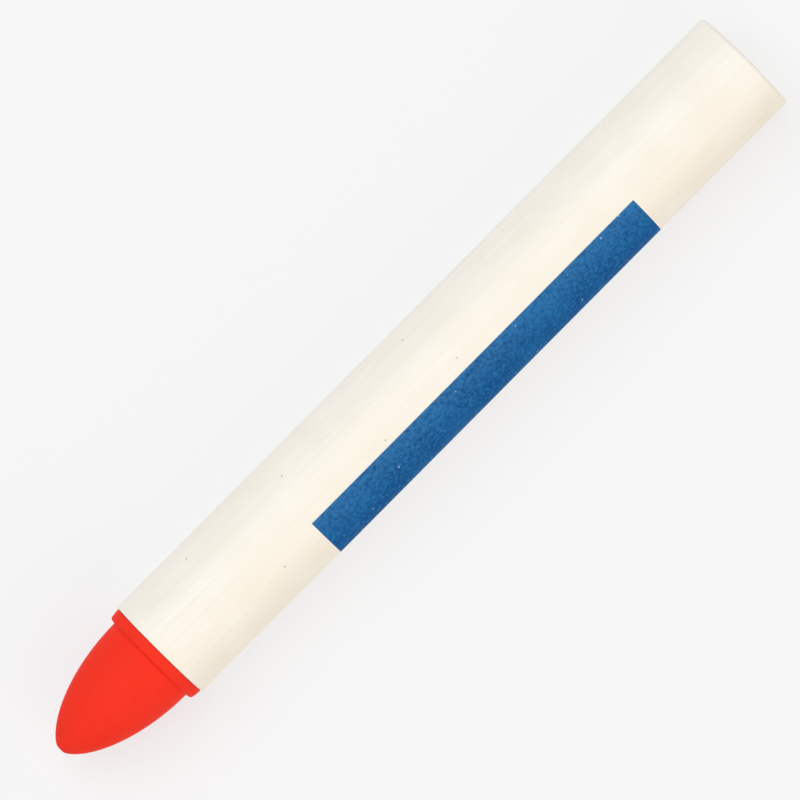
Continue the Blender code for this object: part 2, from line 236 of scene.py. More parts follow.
@dataclass(frozen=True)
class Slope(Pattern):
    """An even rise across the marker, between two distances from its axis towards the printed side."""

    start_mm: float
    end_mm: float

    def draw(self, tree: NodeTree, place: NodeSocket) -> NodeSocket:
        """Measure the way across the marker.

        Args:
            tree: The material's node tree.
            place: The point on the piece, in metres.

        Returns:
            0 up to the start, rising to 1 at the end.
        """
        across = add_node(tree, "ShaderNodeSeparateXYZ", {"Vector": place}).outputs["Y"]
        rise = {"Value": across, "From Min": self.start_mm * MM, "From Max": self.end_mm * MM}
        return add_node(tree, "ShaderNodeMapRange", rise).outputs["Result"]


@dataclass(frozen=True)
class Coat:
    """A colour over the ground, which grows to its share as its pattern goes from one value to another."""

    colour: str
    pattern: Pattern
    start: float = 0.0
    full: float = 1.0
    share: float = 1.0

    def lay(self, tree: NodeTree, ground: NodeSocket | Rgba, pattern: NodeSocket) -> NodeSocket:
        """Lay the colour over the ground.

        Args:
            tree: The material's node tree.
            ground: The colour below.
            pattern: The coat's pattern, as it is drawn in this tree.

        Returns:
            The ground with this coat on it.
        """
        fade = {"From Min": self.start, "From Max": self.full, "To Min": 0.0, "To Max": self.share}
        amount = add_node(tree, "ShaderNodeMapRange", {"Value": pattern, **fade})
        colours = {MIX_FACTOR: amount.outputs["Result"], MIX_A: ground, MIX_B: linear(self.colour)}
        return add_node(tree, "ShaderNodeMix", colours, data_type="RGBA").outputs[MIX_RESULT]


class Finish:
    """What every finish has: a named material, a ground colour with coats on it, a gloss and a relief.

    The roughness runs from that of the smoothest patches to that of the roughest, as the pattern of the sheen
    goes from one end of its window to the other. The relief is a sum of patterns, each with its height in
    millimetres.
    """

    name: str
    colour: str
    ior: float
    specular: float
    roughness: tuple[float, float]
    coats: tuple[Coat, ...]
    sheen: Pattern
    sheen_window: tuple[float, float] = (0.3, 0.7)
    relief: tuple[tuple[Pattern, float], ...]

    def build(self) -> Material:
        """Make the material, and link its coats, gloss and relief to its shader.

        Returns:
            The finished material.
        """
        material = bpy.data.materials.new(self.name)
        material.use_nodes = True
        tree = material.node_tree
        place = add_node(tree, "ShaderNodeTexCoord").outputs["Object"]
        # A pattern is drawn once, however often the finish uses it.
        used = [coat.pattern for coat in self.coats] + [pattern for pattern, _ in self.relief] + [self.sheen]
        drawn = {pattern: pattern.draw(tree, place) for pattern in dict.fromkeys(used)}
        tone: NodeSocket | Rgba = linear(self.colour)
        for coat in self.coats:
            tone = coat.lay(tree, tone, drawn[coat.pattern])
        spread = {
            "Value": drawn[self.sheen],
            "From Min": self.sheen_window[0],
            "From Max": self.sheen_window[1],
            "To Min": self.roughness[0],
            "To Max": self.roughness[1],
        }
        gloss = add_node(tree, "ShaderNodeMapRange", spread)
        height: NodeSocket | float = 0.0
        for pattern, height_mm in self.relief:
            terms = {0: drawn[pattern], 1: height_mm, 2: height}
            height = add_node(tree, "ShaderNodeMath", terms, operation="MULTIPLY_ADD").outputs["Value"]
        bump = add_node(tree, "ShaderNodeBump", {"Height": height, "Distance": MM, "Strength": 1.0})
        shader = tree.nodes["Principled BSDF"]
        shader.inputs["IOR"].default_value = self.ior
        shader.inputs["Specular IOR Level"].default_value = self.specular
        tree.links.new(tone, shader.inputs["Base Color"])
        tree.links.new(gloss.outputs["Result"], shader.inputs["Roughness"])
        tree.links.new(bump.outputs["Normal"], shader.inputs["Normal"])
        return material


class IvoryPolypropylene(Finish):
    """Ivory polypropylene, moulded."""

    # The mould gives a satin skin, faintly clouded where the pigment spread, with lines along the way that it
    # was drawn and a few dark specks in the resin. Real lines and grain are hundredths of a millimetre wide:
    # they are drawn coarser, so that they show.
    name = "ivory_polypropylene"
    colour = "#FAF5E9"
    ior = 1.49
    specular = 0.25
    roughness = (0.36, 0.46)
    clouds = Mottle(size_mm=7.0, detail=4.0)
    lines = Mottle(size_mm=0.30, detail=2.0, stretch=60.0)
    grain = Mottle(size_mm=0.18, detail=2.0)
    specks = Marks(spacing_mm=4.6, radius_mm=0.20)
    coats = (
        Coat("#F5ECD9", clouds, start=0.35, full=0.75, share=0.60),
        Coat("#F5ECD9", lines, start=0.45, full=0.70, share=0.60),
        Coat("#CDC0A8", specks),
    )
    sheen = grain
    relief = ((lines, 0.004), (grain, 0.004))


class BluePrintInk(Finish):
    """Blue ink, screen-printed on polypropylene."""

    # The screen lays a dull, even film, faintly mottled where it lies thin or thick, with pale pinholes that
    # dust left in it. Painted shade darkens the panel evenly across the marker, towards the printed side. A
    # screen's
    # weave is about 0.1 mm wide: its mottle is drawn coarser, so that it shows.
    name = "blue_screen_print_ink"
    colour = "#3A70A2"
    ior = 1.50
    specular = 0.02
    roughness = (0.43, 0.56)
    painted_shade_slope = Slope(start_mm=2.5, end_mm=8.2)
    mottle = Mottle(size_mm=0.55, detail=4.0, roughness=0.6)
    drift = Mottle(size_mm=6.0, detail=2.0)
    pinholes = Marks(spacing_mm=2.4, radius_mm=0.22)
    coats = (
        # Painted shade: a darker blue that grows across the panel towards the printed side.
        Coat("#005090", painted_shade_slope),
        Coat("#2A7CB7", mottle, start=0.50, full=0.68, share=0.9),
        Coat("#034D8B", mottle, start=0.50, full=0.32, share=0.9),
        Coat("#2A7CB7", drift, start=0.40, full=0.70, share=0.3),
        Coat("#8DB2D6", pinholes),
    )
    sheen = mottle
    relief = ((mottle, 0.006),)


class RedPolypropylene(Finish):
    """Red polypropylene, moulded in a spark-eroded mould."""

    # The eroded mould gives an even matt colour with a fine grain, broad flow marks and light scuffs. Spark
    # erosion leaves a grain of about 0.05 mm: it is drawn coarser, so that it shows.
    name = "red_polypropylene"
    colour = "#FA3826"
    ior = 1.49
    specular = 0.03
    roughness = (0.47, 0.60)
    flow = Mottle(size_mm=9.0, detail=3.0, distortion=0.6)
    scuffs = Mottle(size_mm=1.6, detail=6.0, roughness=0.7)
    grain = Mottle(size_mm=0.22, detail=3.0)
    coats = (
        Coat("#F33422", flow, start=0.40, full=0.70, share=0.6),
        Coat("#F94D3A", scuffs, start=0.62, full=0.78, share=0.35),
    )
    sheen = scuffs
    sheen_window = (0.35, 0.7)
    relief = ((grain, 0.007),)


class SolidPaint(Finish):
    """Water-based solid paint, cast into a stick."""

    # Casting gives a waxy red with a faint pale bloom, small pits, and lines where it slid from its tube. The
    # pits are sunk in the relief, and coloured darker as painted shade in them.
    name = "solid_paint_cast"
    colour = "#DE2718"
    ior = 1.45
    specular = 0.35
    roughness = (0.40, 0.65)
    bloom = Mottle(size_mm=2.5, detail=6.0, roughness=0.65)
    drag = Mottle(size_mm=0.25, detail=3.0, stretch=14.0)
    pits_with_painted_shade = Marks(spacing_mm=0.9, radius_mm=0.16)
    coats = (
        Coat("#E8604F", bloom, start=0.48, full=0.75, share=0.5),
        # Painted shade: the pits are coloured a darker red.
        Coat("#B81A10", pits_with_painted_shade),
    )
    sheen = bloom
    sheen_window = (0.35, 0.7)
    relief = ((drag, 0.02), (pits_with_painted_shade, -0.02))


class NaturalAcetal(Finish):
    """Natural acetal, moulded."""

    # Uncoloured acetal comes out of the mould a cool white, slightly cloudy, with a slippery sheen. The
    # mould's grain is drawn several times coarser than it is, so that it shows.
    name = "natural_acetal"
    colour = "#EBE9E3"
    ior = 1.48
    specular = 0.5
    roughness = (0.28, 0.40)
    clouds = Mottle(size_mm=3.0, detail=4.0)
    grain = Mottle(size_mm=0.2, detail=2.0)
    coats = (Coat("#DEDACF", clouds, start=0.40, full=0.75, share=0.7),)
    sheen = clouds
    relief = ((grain, 0.004),)


class NitrileRubber(Finish):
    """Black nitrile rubber, moulded."""

    # Carbon black makes it near-black and dull, and the talc of the mould greys it in patches.
    name = "black_nitrile_rubber"
    colour = "#1B1B1C"
    ior = 1.52
    specular = 0.5
    roughness = (0.58, 0.80)
    dust = Mottle(size_mm=0.7, detail=5.0, roughness=0.6)
    coats = (Coat("#3A3937", dust, start=0.45, full=0.75, share=0.7),)
    sheen = dust
    relief = ((dust, 0.01),)


@dataclass(frozen=True)
class MarkerAxis:
    """The line that every turned piece shares: along +X, at the height of the barrel's middle."""

    rear: float
    mouth: float
    tip: float
    height: float

    @classmethod
    def from_frame(cls) -> "MarkerAxis":
        """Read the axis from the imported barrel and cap.

        Returns:
            The axis.
        """
        low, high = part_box("barrel")
        _, cap_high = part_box("cap")
        return cls(rear=low.x, mouth=high.x - low.x, tip=cap_high.x - low.x, height=(low.z + high.z) / 2)

    def point(self, along: float, radius: float = 0.0) -> Vector:
        """Return the point this far along the marker and this far above its axis."""
        return Vector((self.rear + along, 0.0, self.height + radius))

    def along(self, point: Vector) -> float:
        """Return how far a point lies from the rear end."""
        return point.x - self.rear

    def radius(self, point: Vector) -> float:
        """Return how far a point lies from the axis."""
        return math.hypot(point.y, point.z - self.height)

    def angle(self, point: Vector) -> float:
        """Return a point's angle round the axis in degrees, from the top towards +Y."""
        return math.degrees(math.atan2(point.y, point.z - self.height))


@dataclass(frozen=True)
class Corner:
    """One corner of a turned outline: its place along the marker, its radius, and how far it is rounded."""

    along: float
    radius: float
    rounding: float = 0.0


def round_off(bm: BMesh, parts: list[BMVert] | list[BMEdge], radius: float, kind: Rounding) -> None:
    """Round corners of a wire or edges of a solid.

    Args:
        bm: The shape.
        parts: Its corners or edges.
        radius: The radius that they get.
        kind: Which of the two they are.
    """
    bmesh.ops.bevel(
        bm,
        geom=parts,
        offset=radius,
        offset_type="OFFSET",
        affect=kind.value,
        segments=ROUND_STEPS,
        profile=0.5,
        material=-1,
    )


def draw_wire(points: Sequence[Vector], roundings: Sequence[float], closed: bool) -> BMesh:
    """Join points by straight edges, and round off their corners.

    Args:
        points: The corners in order.
        roundings: The radius of each corner, or 0 for a sharp one.
        closed: True where the last corner joins the first.

    Returns:
        The wire.
    """
    bm = bmesh.new()
    corners = [bm.verts.new(point) for point in points]
    ends = corners[1:] + corners[:1] if closed else corners[1:]
    for start, end in zip(corners, ends):
        bm.edges.new((start, end))
    for corner, rounding in zip(corners, roundings):
        if rounding:
            round_off(bm, [corner], rounding, Rounding.CORNERS)
    return bm


def spin_round(bm: BMesh, axis: MarkerAxis, segments: int) -> BMesh:
    """Spin a wire once round the marker's axis.

    Args:
        bm: The wire.
        axis: The marker's axis.
        segments: The number of faces round the axis.

    Returns:
        The same bmesh, closed, with its faces pointing outwards.
    """
    bmesh.ops.spin(
        bm,
        geom=bm.verts[:] + bm.edges[:],
        cent=axis.point(0.0),
        axis=FORWARD,
        angle=math.tau,
        steps=segments,
        use_merge=True,
        use_duplicate=False,
    )
    bmesh.ops.remove_doubles(bm, verts=bm.verts, dist=MERGE_DISTANCE)
    bmesh.ops.recalc_face_normals(bm, faces=bm.faces)
    return bm


def turn(axis: MarkerAxis, outline: Sequence[Corner], segments: int, closed: bool = False) -> BMesh:
    """Turn an outline about the marker's axis, as on a lathe.

    Args:
        axis: The marker's axis.
        outline: The corners in order; an open outline starts and ends on the axis.
        segments: The number of faces round the axis.
        closed: True where the last corner joins the first, as in a ring or a tube.

    Returns:
        The closed shape.
    """
    points = [axis.point(corner.along, corner.radius) for corner in outline]
    wire = draw_wire(points, [corner.rounding for corner in outline], closed)
    return spin_round(wire, axis, segments)


def pull_out(bm: BMesh, faces: list[BMFace]) -> list[BMVert]:
    """Extrude faces, with walls all round.

    Args:
        bm: The shape.
        faces: The faces, which stay where they are.

    Returns:
        The corners of the new faces, which are still to be moved.
    """
    pulled = bmesh.ops.extrude_face_region(bm, geom=faces)["geom"]
    return [part for part in pulled if isinstance(part, BMVert)]


def block(sizes: tuple[float, float, float], matrix: Matrix, rounding: float = 0.0) -> BMesh:
    """Make a block with rounded edges.

    Args:
        sizes: Its length, width and height.
        matrix: Where its middle goes, and how it is turned.
        rounding: The radius of its edges.

    Returns:
        The block.
    """
    bm = bmesh.new()
    bmesh.ops.create_cube(bm, size=1.0, matrix=Matrix.Diagonal((*sizes, 1.0)))
    if rounding:
        round_off(bm, bm.edges[:], rounding, Rounding.EDGES)
    bmesh.ops.transform(bm, matrix=matrix, verts=bm.verts)
    return bm


def to_mesh(bm: BMesh, name: str) -> Mesh:
    """Turn a bmesh into a mesh.

    Args:
        bm: The shape; it is freed.
        name: The mesh's name.

    Returns:
        The mesh.
    """
    mesh = bpy.data.meshes.new(name)
    bm.to_mesh(mesh)
    bm.free()
    return mesh


def put_in_scene(name: str, data: ID) -> Object:
    """Make an object of a mesh, a lamp or a camera, and link it to the scene.

    Args:
        name: The object's name.
        data: The mesh, lamp or camera.

    Returns:
        The object, at the origin.
    """
    holder = bpy.data.objects.new(name, data)
    bpy.context.scene.collection.objects.link(holder)
    return holder


def join(shape: BMesh, tool: BMesh, joining: Joining) -> BMesh:
    """Cut a closed shape out of another, or add it to it.

    Args:
        shape: The shape that is worked on; it is freed.
        tool: The shape that is cut out or added; it is freed.
        joining: Which of the two is done.

    Returns:
        The joined shape.
    """
    holders = [put_in_scene("joining", to_mesh(part, "joining")) for part in (shape, tool)]
    modifier = holders[0].modifiers.new("joining", "BOOLEAN")
    modifier.operation = joining.value
    modifier.object = holders[1]
    modifier.solver = "EXACT"
    joined = bmesh.new()
    joined.from_object(holders[0], bpy.context.evaluated_depsgraph_get())
    for holder in holders:
        bpy.data.meshes.remove(holder.data)
    bmesh.ops.remove_doubles(joined, verts=joined.verts, dist=MERGE_DISTANCE)
    return joined


def thread(
    axis: MarkerAxis, section: Sequence[tuple[float, float]], start: float, end: float, lead: float
) -> BMesh:
    """Run a section round the axis as a left-handed helix that is in phase wherever it starts.

    Args:
        axis: The marker's axis.
        section: The section's corners, each a place along the axis and a radius.
        start: Where its middle starts along the marker.
        end: Where its middle ends.
        lead: How far it climbs in one turn.

    Returns:
        The closed helical bar.
    """
    turns = (end - start) / lead
    steps = math.ceil(turns * THREAD_STEPS)
    bm = bmesh.new()
    face = bm.faces.new([bm.verts.new(axis.point(start + along, radius)) for along, radius in section])
    phase = Matrix.Rotation(-math.tau * start / lead, 3, "X")
    bmesh.ops.rotate(bm, verts=bm.verts, cent=axis.point(0.0), matrix=phase)
    bmesh.ops.spin(
        bm,
        geom=[face],
        cent=axis.point(0.0),
        axis=FORWARD,
        dvec=((end - start) / steps, 0.0, 0.0),
        angle=-math.tau * turns,
        steps=steps,
        use_merge=False,
        use_duplicate=False,
    )
    bmesh.ops.recalc_face_normals(bm, faces=bm.faces)
    return bm


def publish(bm: BMesh, name: str, node: str, body: Body, slot: Slot, *materials: Material) -> Object:
    """Turn a finished shape into a piece that stands for a CAD node and moves with its body.

    Args:
        bm: The shape, in its place; it is freed.
        name: The piece's name.
        node: The CAD node that it stands for.
        body: The body that it rides on.
        slot: The record's material slot; not used.
        materials: Its materials, in the order of its faces' material numbers.

    Returns:
        The piece.
    """
    mesh = to_mesh(bm, name)
    mesh.shade_smooth()
    mesh.set_sharp_from_angle(angle=SHARP_ANGLE)
    for material in materials:
        mesh.materials.append(material)
    piece = put_in_scene(name, mesh)
    # Flats stay flat beside their small rounded edges.
    normals = piece.modifiers.new("flat_faces", "WEIGHTED_NORMAL")
    normals.keep_sharp = True
    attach(piece, body.value)
    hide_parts(node)
    return piece


def bullet(base: float, base_radius: float, length: float, tip_cut: float, rings: int) -> list[Corner]:
    """Draw the cap's bullet outline, from its small flat tip to its base.

    Args:
        base: Where its base lies along the marker.
        base_radius: The radius of its base.
        length: How far it stands forward of its base.
        tip_cut: How much of its pointed end the flat tip leaves off.
        rings: The number of corners along it.

    Returns:
        The corners from tip to base.
    """
    # The powers of the oval: 2 and 2 would be an ellipse, and a smaller width power makes the nose slimmer.
    length_power = 2.0
    width_power = 1.6
    corners = []
    for index in range(rings + 1):
        # Squared steps set the rings close together near the blunt tip.
        height = length * (1.0 - (index / rings) ** 2)
        share = 1.0 - (height / (length + tip_cut)) ** length_power
        corners.append(Corner(base + height, base_radius * share ** (1.0 / width_power)))
    return corners


@dataclass(frozen=True)
class Barrel:
    """The ivory tube: square-cut, ribbed inside to guide the stick, with a blue panel printed on one side."""

    axis: MarkerAxis
    bore_radius: float = 7.2 * MM
    rear_round: float = 0.55 * MM
    rear_bore_round: float = 0.2 * MM
    mouth_round: float = 0.25 * MM
    bead_rear: float = 6.8 * MM
    bead_length: float = 0.6 * MM
    bead_slope: float = 0.2 * MM
    bead_height: float = 0.3 * MM
    bead_round: float = 0.06 * MM
    rib_rear: float = 12.2 * MM
    rib_front: float = 110.5 * MM
    rib_height: float = 0.9 * MM
    # Angles are in degrees from the top. A face is 1.875 degrees wide, so that edges fall on the sides of the
    # ribs and of the panel.
    rib_angles: tuple[float, ...] = (45.0, 135.0, -135.0, -45.0)
    rib_half_width: float = 5.625
    panel_start: float = 18.75
    panel_end: float = 93.75
    segments: int = 192
    panel_from_mouth: float = 28.0 * MM
    panel_length: float = 64.5 * MM
    ink_film: float = 0.02 * MM

    def build(self, ivory: Material, ink: Material) -> Object:
        """Turn the tube, raise its ribs and print its panel.

        Args:
            ivory: The tube's material.
            ink: The panel's material.

        Returns:
            The piece.
        """
        bm = turn(self.axis, self.outline(), self.segments, closed=True)
        ribs = [face for face in bm.faces if self.is_rib(face)]
        self.shift(bm, ribs, 1.0 - self.rib_height / self.bore_radius)
        panel = [face for face in bm.faces if self.is_panel(face)]
        for face in self.shift(bm, panel, 1.0 + self.ink_film / self.axis.height):
            face.material_index = 1
        bmesh.ops.recalc_face_normals(bm, faces=bm.faces)
        return publish(bm, "barrel_tube", "barrel", Body.BARREL, Slot.IVORY_PLASTIC, ivory, ink)

    def outline(self) -> list[Corner]:
        """Draw the tube's wall, with edges where its ribs and its panel begin and end.

        Returns:
            The corners, round the wall.
        """
        outer = self.axis.height
        bore = self.bore_radius
        bead = bore - self.bead_height
        mouth = self.axis.mouth
        panel_front = mouth - self.panel_from_mouth
        bead_front = self.bead_rear + self.bead_length
        return [
            Corner(mouth, bore, self.mouth_round),
            Corner(mouth, outer, self.mouth_round),
            Corner(panel_front, outer),
            Corner(panel_front - self.panel_length, outer),
            Corner(0.0, outer, self.rear_round),
            Corner(0.0, bore, self.rear_bore_round),
            Corner(self.bead_rear, bore),
            Corner(self.bead_rear + self.bead_slope, bead, self.bead_round),
            Corner(bead_front - self.bead_slope, bead, self.bead_round),
            Corner(bead_front, bore),
            Corner(self.rib_rear, bore),
            Corner(self.rib_front, bore),
        ]

    def is_rib(self, face: BMFace) -> bool:
        """Tell whether a face of the bore is the root of a rib.

        Args:
            face: A face of the tube.

        Returns:
            True if a rib is raised on it.
        """
        middle = face.calc_center_median()
        if not self.rib_rear < self.axis.along(middle) < self.rib_front:
            return False
        if self.axis.radius(middle) > self.bore_radius:
            return False
        angle = self.axis.angle(middle)
        return any(abs(angle - rib) < self.rib_half_width for rib in self.rib_angles)

    def is_panel(self, face: BMFace) -> bool:
        """Tell whether a face of the skin lies inside the printed panel.

        Args:
            face: A face of the tube.

        Returns:
            True if it is printed.
        """
        middle = face.calc_center_median()
        front = self.axis.mouth - self.panel_from_mouth
        if not front - self.panel_length < self.axis.along(middle) < front:
            return False
        if self.axis.radius(middle) < self.bore_radius:
            return False
        return self.panel_start < self.axis.angle(middle) < self.panel_end

    def shift(self, bm: BMesh, faces: list[BMFace], factor: float) -> list[BMFace]:
        """Raise faces towards the axis or away from it, with walls all round.

        Args:
            bm: The tube.
            faces: The faces that are raised.
            factor: Their new radius as a share of the old one.

        Returns:
            The raised faces and their walls.
        """
        kept = set(bm.faces) - set(faces)
        bmesh.ops.scale(
            bm,
            vec=(1.0, factor, factor),
            space=Matrix.Translation(-self.axis.point(0.0)),
            verts=pull_out(bm, faces),
        )
        bmesh.ops.delete(bm, geom=faces, context="FACES")
        return [face for face in bm.faces if face not in kept]


@dataclass(frozen=True)
class Cap:
    """The red cap: a hollow bullet nose, a pull flange, and a plug that seats in the barrel's mouth."""

    axis: MarkerAxis
    seat_gap: float = 0.06 * MM
    flange_radius: float = 8.25 * MM
    flange_draft: float = 0.2 * MM
    flange_thickness: float = 1.79 * MM
    flange_round: float = 0.45 * MM
    flange_back_round: float = 0.18 * MM
    nose_radius: float = 7.2 * MM
    nose_fillet: float = 0.22 * MM
    nose_rings: int = 30
    tip_cut: float = 0.22 * MM
    tip_round: float = 0.3 * MM
    gate_radius: float = 0.28 * MM
    gate_floor_radius: float = 0.224 * MM
    gate_depth: float = 0.1 * MM
    gate_round: float = 0.04 * MM
    crown_wall: float = 1.6 * MM
    cavity_rings: int = 15
    plug_radius: float = 7.05 * MM
    plug_bore: float = 6.3 * MM
    plug_length: float = 6.5 * MM
    plug_round: float = 0.3 * MM
    plug_bore_round: float = 0.15 * MM
    bead_height: float = 0.08 * MM
    bead_length: float = 1.0 * MM
    bead_round: float = 0.25 * MM
    bead_setback: float = 1.3 * MM
    segments: int = 160

    def build(self, red: Material) -> Object:
        """Turn the cap.

        Args:
            red: Its material.

        Returns:
            The piece.
        """
        bm = turn(self.axis, self.outline(), self.segments)
        return publish(bm, "bullet_cap", "cap", Body.CAP, Slot.RED_PLASTIC, red)

    def outline(self) -> list[Corner]:
        """Draw the cap from its tip, over its flange and plug, to the top of its cavity.

        Returns:
            The corners.
        """
        tip = self.axis.tip
        gate = tip - self.gate_depth
        flange_rear = self.axis.mouth + self.seat_gap
        flange_front = flange_rear + self.flange_thickness
        nose = bullet(flange_front, self.nose_radius, tip - flange_front, self.tip_cut, self.nose_rings)
        cavity_length = tip - flange_front - self.crown_wall
        cavity = bullet(flange_front, self.plug_bore, cavity_length, self.tip_cut, self.cavity_rings)
        # The rounded edge of the tip takes the place of the rings next to it.
        flank = [corner for corner in nose[1:-1] if corner.along < tip - self.tip_round]
        plug_end = flange_rear - self.plug_length
        bead_rear = plug_end + self.bead_setback
        bead_middle = bead_rear + self.bead_length / 2
        return [
            # The gate that the plastic came through leaves a small pit in the tip.
            Corner(gate, 0.0),
            Corner(gate, self.gate_floor_radius, self.gate_round),
            Corner(tip, self.gate_radius, self.gate_round),
            Corner(nose[0].along, nose[0].radius, self.tip_round),
            *flank,
            Corner(flange_front, self.nose_radius, self.nose_fillet),
            Corner(flange_front, self.flange_radius - self.flange_draft, self.flange_round),
            Corner(flange_rear, self.flange_radius, self.flange_back_round),
            Corner(flange_rear, self.plug_radius, self.nose_fillet),
            Corner(bead_rear + self.bead_length, self.plug_radius),
            Corner(bead_middle, self.plug_radius + self.bead_height, self.bead_round),
            Corner(bead_rear, self.plug_radius),
            Corner(plug_end, self.plug_radius, self.plug_round),
            Corner(plug_end, self.plug_bore, self.plug_bore_round),
            *reversed(cavity),
            Corner(cavity[0].along, 0.0),
        ]


@dataclass(frozen=True)
class PaintStick:
    """The stick of solid paint: cast with a bullet nose, and bored from its tail for the feed screw."""

    axis: MarkerAxis
    radius: float = 6.0 * MM
    tail: float = 19.85 * MM
    tail_round: float = 0.4 * MM
    tip_recess: float = 1.5 * MM
    nose_length: float = 9.0 * MM
    nose_rings: int = 22
    bore_radius: float = 2.9 * MM
    bore_round: float = 0.2 * MM
    bore_end: float = 101.0 * MM
    bore_cone: float = 1.45 * MM
    segments: int = 128

    def build(self, paint: Material) -> Object:
        """Turn the stick.

        Args:
            paint: Its material.

        Returns:
            The piece.
        """
        outline = [
            *self.nose(),
            Corner(self.tail, self.radius, self.tail_round),
            Corner(self.tail, self.bore_radius, self.bore_round),
            Corner(self.bore_end - self.bore_cone, self.bore_radius),
            Corner(self.bore_end, 0.0),
        ]
        bm = turn(self.axis, outline, self.segments)
        return publish(bm, "cast_paint_stick", "paint_stick", Body.FEED, Slot.RED_PAINT, paint)

    def nose(self) -> list[Corner]:
        """Draw the nose, half an ellipse from its tip to its shoulder.

        Returns:
            The corners.
        """
        tip = self.axis.mouth - self.tip_recess
        corners = [Corner(tip, 0.0)]
        for index in range(1, self.nose_rings + 1):
            # Squared steps set the rings close together near the tip.
            depth = (index / self.nose_rings) ** 2
            width = math.sqrt(1.0 - (1.0 - depth) ** 2)
            corners.append(Corner(tip - self.nose_length * depth, self.radius * width))
        return corners


@dataclass(frozen=True)
class FeedDrive:
    """The twist feed: the lead screw, and the nut on it whose fingers hold the tail of the stick."""

    axis: MarkerAxis
    lead: float = 5.0 * MM
    core_radius: float = 1.5 * MM
    # The ridge starts inside the core, so that the two join.
    ridge_foot_radius: float = 1.15 * MM
    crest_radius: float = 2.3 * MM
    root_width: float = 1.5 * MM
    crest_width: float = 0.9 * MM
    screw_tip: float = 100.0 * MM
    tip_round: float = 0.6 * MM
    thread_end: float = 98.4 * MM
    collar_rear: float = 12.5 * MM
    collar_front: float = 13.9 * MM
    collar_radius: float = 5.033 * MM
    collar_round: float = 0.2 * MM
    tang_rear: float = 7.0 * MM
    tang_side: float = 3.0 * MM
    tang_round: float = 0.2 * MM
    running_gap: float = 0.3 * MM
    carrier_rear: float = 14.2 * MM
    carrier_front: float = 28.7 * MM
    carrier_radius: float = 6.9 * MM
    carrier_round: float = 0.25 * MM
    cup_floor: float = 19.7 * MM
    cup_radius: float = 6.15 * MM
    notch_floor: float = 6.0 * MM
    notch_width: float = 2.0 * MM
    notch_count: int = 4
    segments: int = 96
    screw_segments: int = 40

    def build_screw(self, acetal: Material) -> Object:
        """Turn the core and its collar, wind the thread on it and add the square tang.

        Args:
            acetal: Its material.

        Returns:
            The piece.
        """
        outline = [
            Corner(self.screw_tip, 0.0),
            Corner(self.screw_tip, self.core_radius, self.tip_round),
            Corner(self.collar_front, self.core_radius),
            Corner(self.collar_front, self.collar_radius, self.collar_round),
            Corner(self.collar_rear, self.collar_radius, self.collar_round),
            Corner(self.collar_rear, 0.0),
        ]
        bm = turn(self.axis, outline, self.screw_segments)
        ridge = self.ridge(self.ridge_foot_radius, self.crest_radius, widening=0.0)
        winding = thread(self.axis, ridge, self.collar_front, self.thread_end, self.lead)
        bm = join(bm, winding, Joining.ADD)
        # The tang runs into the middle of the collar, so that the two join.
        tang_front = (self.collar_rear + self.collar_front) / 2
        middle = Matrix.Translation(self.axis.point((self.tang_rear + tang_front) / 2))
        tang = block((tang_front - self.tang_rear, self.tang_side, self.tang_side), middle, self.tang_round)
        bm = join(bm, tang, Joining.ADD)
        return publish(bm, "lead_screw", "feed_screw", Body.KNOB, Slot.WHITE_PLASTIC, acetal)

    def build_carrier(self, acetal: Material) -> Object:
        """Turn the cup, notch it for the barrel's ribs and cut its nut thread.

        Args:
            acetal: Its material.

        Returns:
            The piece.
        """
        nut_bore = self.core_radius + self.running_gap
        outline = [
            Corner(self.carrier_front, self.cup_radius, self.carrier_round),
            Corner(self.carrier_front, self.carrier_radius, self.carrier_round),
            Corner(self.carrier_rear, self.carrier_radius, self.carrier_round),
            Corner(self.carrier_rear, nut_bore),
            Corner(self.cup_floor, nut_bore),
            Corner(self.cup_floor, self.cup_radius),
        ]
        bm = turn(self.axis, outline, self.segments, closed=True)
        # Each cutter runs past the faces that it opens.
        overrun = 2 * self.running_gap
        length = self.carrier_front - self.carrier_rear + 2 * overrun
        depth = self.carrier_radius - self.notch_floor + overrun
        middle = Matrix.Translation(self.axis.point((self.carrier_front + self.carrier_rear) / 2))
        out = Matrix.Translation((0.0, 0.0, self.notch_floor + depth / 2))
        # The notches stand at the barrel's ribs, half a step round from the top.
        for index in range(self.notch_count):
            angle = math.tau * (index + 0.5) / self.notch_count
            matrix = middle @ Matrix.Rotation(angle, 4, "X") @ out
            bm = join(bm, block((length, self.notch_width, depth), matrix), Joining.CUT)
        groove = self.ridge(self.core_radius, self.crest_radius + self.running_gap, 2 * self.running_gap)
        start = self.carrier_rear - self.lead
        bm = join(bm, thread(self.axis, groove, start, self.cup_floor + self.lead, self.lead), Joining.CUT)
        return publish(bm, "carrier_nut", "stick_carrier", Body.FEED, Slot.WHITE_PLASTIC, acetal)

    def ridge(self, inner: float, outer: float, widening: float) -> list[tuple[float, float]]:
        """Draw the section of the screw's ridge, or of the wider groove that it runs in.

        Args:
            inner: The radius of its foot.
            outer: The radius of its crest.
            widening: How much wider it is than the ridge.

        Returns:
            Its corners, each a place along the axis and a radius.
        """
        foot = (self.root_width + widening) / 2
        crest = (self.crest_width + widening) / 2
        return [(-foot, inner), (-crest, outer), (crest, outer), (foot, inner)]


